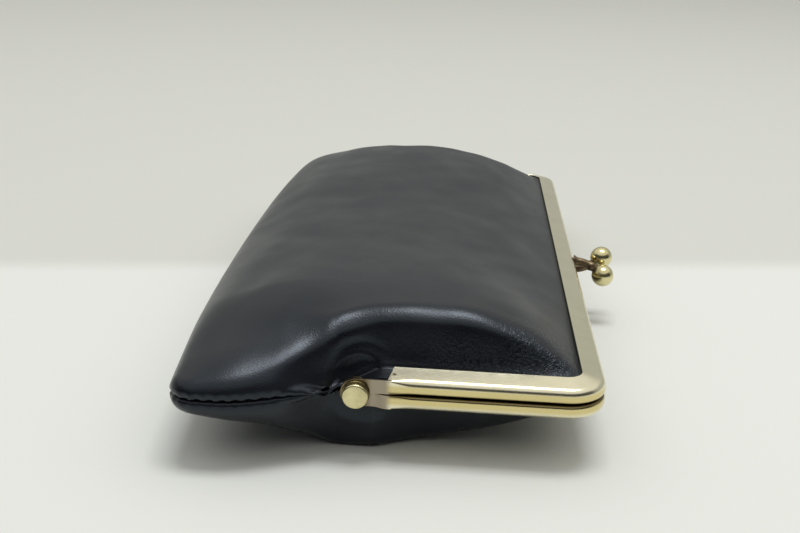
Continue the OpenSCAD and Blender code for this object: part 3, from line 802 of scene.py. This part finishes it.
def leather_grain():
    """Height of a fine pebbled grain, and a slow cloud that varies its tone and polish."""
    made = node_group("leather_grain", "ShaderNodeTree", [("Place", "Vector"), ("Scale", "Float", 1300)],
                      [("Height", "Float"), ("Cloud", "Float")])
    given = add(made, "NodeGroupInput").outputs
    bend = add(made, "ShaderNodeTexNoise", {"Vector": given["Place"], "Scale": 420, "Detail": 2}).outputs["Color"]
    bent = add(made, "ShaderNodeVectorMath", {0: bend, 1: (0.0007, 0.0007, 0.0007)}, operation="MULTIPLY").outputs[0]
    bent = add(made, "ShaderNodeVectorMath", {0: bent, 1: given["Place"]}, operation="ADD").outputs[0]
    cells = add(made, "ShaderNodeTexVoronoi", {"Vector": bent, "Scale": given["Scale"]}, feature="DISTANCE_TO_EDGE")
    pebble = ramp(made, cells.outputs["Distance"], 0.0, 0.3)
    skin = add(made, "ShaderNodeTexNoise", {"Vector": bent, "Scale": 900, "Detail": 4}).outputs[0]
    height = math_node(made, "ADD", math_node(made, "MULTIPLY", pebble, 0.55), math_node(made, "MULTIPLY", skin, 0.8))
    cloud = add(made, "ShaderNodeTexNoise", {"Vector": given["Place"], "Scale": 60, "Detail": 3}).outputs[0]
    add(made, "NodeGroupOutput", {"Height": height, "Cloud": cloud})
    return made


grain = leather_grain()
leather, tree, shader, place = new_material("navy_black_calf")
skin = add(tree, "ShaderNodeGroup", node_tree=grain)
tree.links.new(place, skin.inputs["Place"])
colour = blend_colour(tree, ramp(tree, skin.outputs["Cloud"], 0.35, 0.7), tone(9, 11, 17), tone(14, 16, 23))
tree.links.new(colour, shader.inputs["Base Color"])
shader.inputs["Specular Tint"].default_value = (0.78, 0.88, 1, 1)
rough = ramp(tree, skin.outputs["Cloud"], 0.3, 0.7, 0.28, 0.36)
tree.links.new(rough, shader.inputs["Roughness"])

# Where the frame gathers the skin its grain crackles: in the front corners, and half as much
# beside the arms.
corner_x, corner_v, beside_x, beside_v, gathered_h = ((0.078, 0.094), (0.03, 0.046), (0.0945, 0.098),
                                                      (0.004, 0.03), 0.004)
parts = add(tree, "ShaderNodeSeparateXYZ", {0: place}).outputs
from_middle = math_node(tree, "ABSOLUTE", parts[0])
in_front = math_node(tree, "SUBTRACT", parts[1], hinge.y)
to_corner = math_node(tree, "MULTIPLY", ramp(tree, from_middle, *corner_x), ramp(tree, in_front, *corner_v))
beside_arm = math_node(tree, "MULTIPLY", ramp(tree, from_middle, *beside_x),
                       ramp(tree, in_front, *beside_v, 0.0, 0.5))
gathered = math_node(tree, "MULTIPLY", math_node(tree, "MAXIMUM", to_corner, beside_arm),
                     ramp(tree, parts[2], hinge.z, hinge.z + gathered_h))
drawn_out = add(tree, "ShaderNodeMapping",
                {"Vector": place, "Rotation": (0, 0, -0.5), "Scale": (0.45, 1, 1)}).outputs[0]
crackle = add(tree, "ShaderNodeTexNoise",
              {"Vector": drawn_out, "Scale": 640, "Detail": 3, "Roughness": 0.6}).outputs[0]
crackle = math_node(tree, "ABSOLUTE", math_node(tree, "SUBTRACT", crackle, 0.5))
crackle = math_node(tree, "MULTIPLY", ramp(tree, crackle, 0.0, 0.09, 0.0, 0.8), gathered)
height = math_node(tree, "ADD", math_node(tree, "MULTIPLY", skin.outputs["Height"], 0.12), crackle)
set_relief(tree, shader, height, 0.4, 0.00045)

upper_folds = [((35, 150), (7.4, 7.0), 0.9, 0.3), ((70, 160), (13.0, 10.0), 2.2, 0.15),
               ((30, 130), (10.0, 9.6), 1.0, -0.15)]
lower_folds = [((40, 160), (11.0, 8.0), 1.6, 0.3)]
upper_skin = panel("upper_skin", upper_height, 1, leather, upper_folds, [(34, 0.6, 3.0), (13, 0.18, 8.0)])
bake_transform(upper_skin)
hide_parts("upper_panel", "upper_panel_fold", "upper_panel_base")
lower_skin = panel("lower_skin", lower_height, -1, leather, lower_folds, [(15, 0.2, 5.0)])
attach(lower_skin, "lower_half")
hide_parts("lower_panel")

# ---------------------------------------------------------------------------------------------
# Padding and lining. A thin needled wadding lies behind each panel, and a cotton lining is sewn
# in over it. Both are glued into the frame with the leather.


layer_rows, layer_columns = 60, 60
wadding_back, wadding_front, wadding_depth, wadding_t, wadding_reach, wadding_lowest = -34, 46, 1.65, 0.65, 0.8, 1.6
cotton_back, cotton_depth, cotton_t, cotton_reach, cotton_lowest = -41.5, 2.95, 0.35, 0.985, 0.2


def layer(name, height, side, rows, depth, thickness, reach, lowest, material):
    """A soft layer at a depth below the leather's outside, over a share (reach) of its width, and
    no nearer the parting plane than the lowest height."""
    grid = panel_grid(height, side, rows, layer_columns, reach)
    normal = outward(grid, side)
    outside = grid - normal * depth
    inside = grid - normal * (depth + thickness)
    for points in (outside, inside):
        points[..., 2] = side * np.maximum(lowest, side * points[..., 2])
    return shell(name, outside, inside, side, material)


def patterned(name, pattern, first, second, roughness, strength, distance):
    """A plain material. The pattern, 0 to 1, blends its two tones and is its relief too."""
    made, tree, shader, place = new_material(name)
    share = pattern(tree, place)
    tree.links.new(blend_colour(tree, share, first, second), shader.inputs["Base Color"])
    set_relief(tree, shader, share, strength, distance)
    shader.inputs["Roughness"].default_value = roughness
    return made


def strands(tree, place, scale, direction, distortion=0.0):
    wave = add(tree, "ShaderNodeTexWave", {"Vector": place, "Scale": scale, "Distortion": distortion},
               bands_direction=direction)
    return wave.outputs["Fac"]


def fluff(tree, place):
    return add(tree, "ShaderNodeTexNoise", {"Vector": place, "Scale": 900, "Detail": 5}).outputs[0]


def weave(tree, place):
    return math_node(tree, "MAXIMUM", strands(tree, place, 500, "X"), strands(tree, place, 500, "Y"))


wadding = patterned("wadding", fluff, tone(225, 220, 204), tone(240, 237, 226), 0.95, 0.5, 0.0004)
cotton = patterned("charcoal_cotton", weave, tone(64, 66, 74), tone(76, 79, 88), 0.85, 0.2, 0.0001)
cotton.node_tree.nodes["Principled BSDF"].inputs["Sheen Weight"].default_value = 0.2

for half, side, height in (("upper", 1, upper_height), ("lower", -1, lower_height)):
    rows = even_rows(height, layer_rows)
    padding = layer(half + "_wadding", height, side, rows[(rows > wadding_back) & (rows < wadding_front)],
                    wadding_depth, wadding_t, wadding_reach, wadding_lowest, wadding)
    lining = layer(half + "_cotton", height, side, rows[rows > cotton_back],
                   cotton_depth, cotton_t, cotton_reach, cotton_lowest, cotton)
    for piece, kind in ((padding, "padding"), (lining, "lining")):
        if side > 0:
            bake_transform(piece)
            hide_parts("upper_" + kind, "upper_" + kind + "_fold", "upper_" + kind + "_base")
        else:
            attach(piece, "lower_half")
            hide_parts("lower_" + kind)

# ---------------------------------------------------------------------------------------------
# Paper cords, three in each half, which wedge the leather and the lining in the channels.

paper = patterned("twisted_paper", lambda tree, place: strands(tree, place, 260, "DIAGONAL", distortion=3),
                  tone(196, 182, 150), tone(224, 212, 184), 0.9, 0.5, 0.0002)
for half in ("upper", "lower"):
    for run in ("top", "left", "right"):
        cord = frame["nodes"][half + "_cord_" + run]
        cord.data.materials.clear()
        cord.data.materials.append(paper)

# ---------------------------------------------------------------------------------------------
# Stitches of waxed black thread in the side seams and along the bottom, a little inside the
# leather's outer edge.


def stitch_tree():
    """Stitches that follow a line, one every pitch."""
    made = node_group("stitch_row", "GeometryNodeTree",
                      [("Line", "Geometry"), ("Pitch", "Float"), ("Stitch", "Object"), ("Thread", "Material")],
                      [("Stitches", "Geometry")])
    given = add(made, "NodeGroupInput").outputs
    line = add(made, "GeometryNodeMeshToCurve", {0: given["Line"]}).outputs[0]
    line = add(made, "GeometryNodeResampleCurve", {"Curve": line, "Length": given["Pitch"]}, mode="LENGTH").outputs[0]
    along = add(made, "GeometryNodeInputTangent").outputs[0]
    turn = add(made, "FunctionNodeAlignRotationToVector", {"Vector": along}, axis="X").outputs[0]
    one = add(made, "GeometryNodeObjectInfo", {"Object": given["Stitch"]}).outputs["Geometry"]
    many = add(made, "GeometryNodeInstanceOnPoints", {"Points": line, "Instance": one, "Rotation": turn}).outputs[0]
    many = add(made, "GeometryNodeRealizeInstances", {0: many}).outputs[0]
    many = add(made, "GeometryNodeSetMaterial", {"Geometry": many, "Material": given["Thread"]}).outputs[0]
    add(made, "NodeGroupOutput", {0: many})
    return made


thread_r, stitch_l = 0.25, 2.4
thread = patterned("waxed_thread", lambda tree, place: strands(tree, place, 900, "DIAGONAL"),
                   tone(18, 18, 22), tone(34, 35, 40), 0.5, 0.5, 0.0001)

profile = [(-stitch_l / 2, 0), (-stitch_l / 2 + 0.08, 0.16), (-stitch_l / 2 + 0.3, 0.24), (0, thread_r),
           (stitch_l / 2 - 0.3, 0.24), (stitch_l / 2 - 0.08, 0.16), (stitch_l / 2, 0)]
stitch = turned("stitch", profile, thread, steps=8)
stitch.data.transform(Matrix.Scale(0.001, 4))
row_of_stitches = stitch_tree()


def seam_thread(name, points, node):
    line = line_mesh(name, at_hinge(points).tolist())
    mesh = grown(name, line, row_of_stitches, Pitch=stitch_pitch / 1000, Stitch=stitch, Thread=thread)
    piece = new_piece(name, mesh, thread)
    smooth_faces(mesh)
    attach(piece, "lower_half")
    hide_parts(node)


thread_in, seam_top, bottom_points = 1.7, -8.5, 120
seam_v = np.arange(base_r - drop, seam_top, 0.5)
for side, which in ((1, "right"), (-1, "left")):
    seam_thread(which + "_stitches", [(side * (half_width(v) - thread_in), v, 0) for v in seam_v],
                which + "_side_thread")
reach = float(half_width(-drop)) - 0.5
seam_thread("bottom_stitches", [(x, thread_in - drop - float(bow(x, -drop)), 0)
                                for x in np.linspace(-reach, reach, bottom_points)], "bottom_thread")
bpy.data.objects.remove(stitch)
